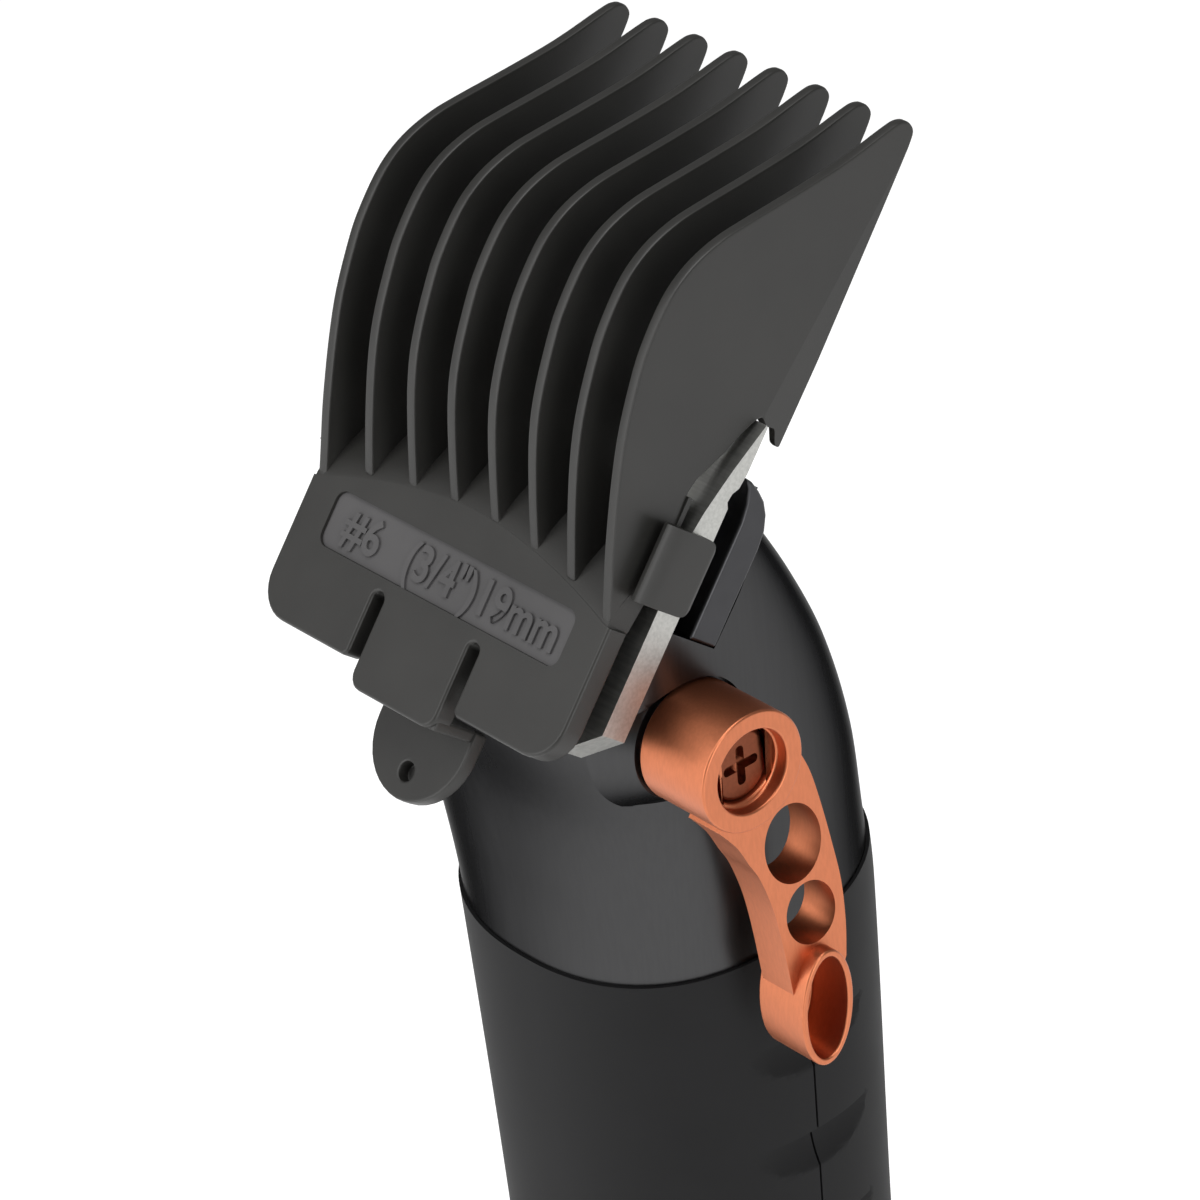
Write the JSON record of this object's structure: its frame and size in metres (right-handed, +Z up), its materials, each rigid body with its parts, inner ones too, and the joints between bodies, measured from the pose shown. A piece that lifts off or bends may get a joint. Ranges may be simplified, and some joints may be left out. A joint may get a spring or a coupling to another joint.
{
  "type": "hair clipper",
  "caption": "Handheld cordless hair clipper with tilted blade, side taper lever and a ribbed guard comb that clips on.",
  "frame": {"origin": "centre of the flat underside of the end cap, where the clipper stands", "axes": "+Z up along the handle, +X towards the taper lever, -Y towards the skin side of the blade"},
  "size_m": [0.0548, 0.0532, 0.1928],
  "materials": {
    "guard_black": "fine-grained moulded plastic",
    "polished_steel": "ground and polished",
    "cutter_steel": "ground",
    "mount_grey": "satin",
    "gunmetal": "satin metallic",
    "soft_black": "soft-touch matte",
    "copper_satin": "satin copper-coloured",
    "inner_plastic": "plain moulded",
    "white_plastic": "acetal",
    "spring_steel": "bright",
    "screw_steel": "zinc plated",
    "brass": "turned",
    "motor_steel": "plated can",
    "damper_rubber": "rubber",
    "cell_wrap": "shrink wrap",
    "nickel": "nickel strip",
    "board_green": "solder mask",
    "clear_plastic": "clear moulded",
    "socket_black": "moulded"
  },
  "bodies": {
    "handle": {"head_housing": "gunmetal", "blade_mount": "mount_grey", "fixed_blade": "polished_steel", "blade_screws": "screw_steel", "lever_bush": "brass", "lever_washer": "spring_steel", "grip_front": "soft_black", "grip_rear": "soft_black", "grip_screws": "screw_steel", "head_gasket": "damper_rubber", "light_pipe": "clear_plastic", "end_cap": "soft_black", "end_cap_screws": "screw_steel", "charge_socket": "socket_black", "chassis": "inner_plastic", "battery_cell": "cell_wrap", "battery_tabs": "nickel", "circuit_board": "board_green", "switch_body": "socket_black", "motor_can": "motor_steel", "motor_plate": "motor_steel", "motor_screws": "screw_steel", "motor_damper": "damper_rubber"},
    "lever": {"taper_lever": "copper_satin", "lever_screw": "copper_satin", "lever_shaft": "screw_steel"},
    "adjuster": {"adjuster_plate": "inner_plastic", "blade_spring": "spring_steel", "spring_screws": "screw_steel"},
    "cutter": {"moving_blade": "cutter_steel", "drive_fork": "white_plastic"},
    "rotor": {"motor_shaft": "spring_steel", "eccentric_hub": "brass", "eccentric_bearing": "spring_steel"},
    "switch": {"power_slider": "gunmetal"},
    "guard": {"guard_comb": "guard_black"}
  },
  "joints": [
    {"name": "lever_turn", "type": "hinge", "parent": "handle", "child": "lever", "pos_m": [0.025, -0.01195, 0.14132], "axis": [1, 0, 0], "range_deg": [0, 40]},
    {"name": "adjuster_slide", "type": "slide", "parent": "handle", "child": "adjuster", "axis": [0, -0.6282, -0.7781], "range_m": [0, 0.00165]},
    {"name": "cutter_stroke", "type": "slide", "parent": "adjuster", "child": "cutter", "axis": [1, 0, 0], "range_m": [-0.0012, 0.0012]},
    {"name": "rotor_spin", "type": "hinge", "parent": "handle", "child": "rotor", "pos_m": [0, 0, 0.14], "axis": [0, 0, 1], "continuous": true},
    {"name": "power_switch", "type": "slide", "parent": "handle", "child": "switch", "axis": [0, 0, 1], "range_m": [0, 0.006]},
    {"name": "guard_lift", "type": "slide", "parent": "handle", "child": "guard", "axis": [0, -0.3917, 0.9201], "range_m": [0, 0.04]}
  ],
  "couplings": [
    {"joint": "adjuster_slide", "follows": "lever_turn", "m_per_rad": 0.002292}
  ]
}
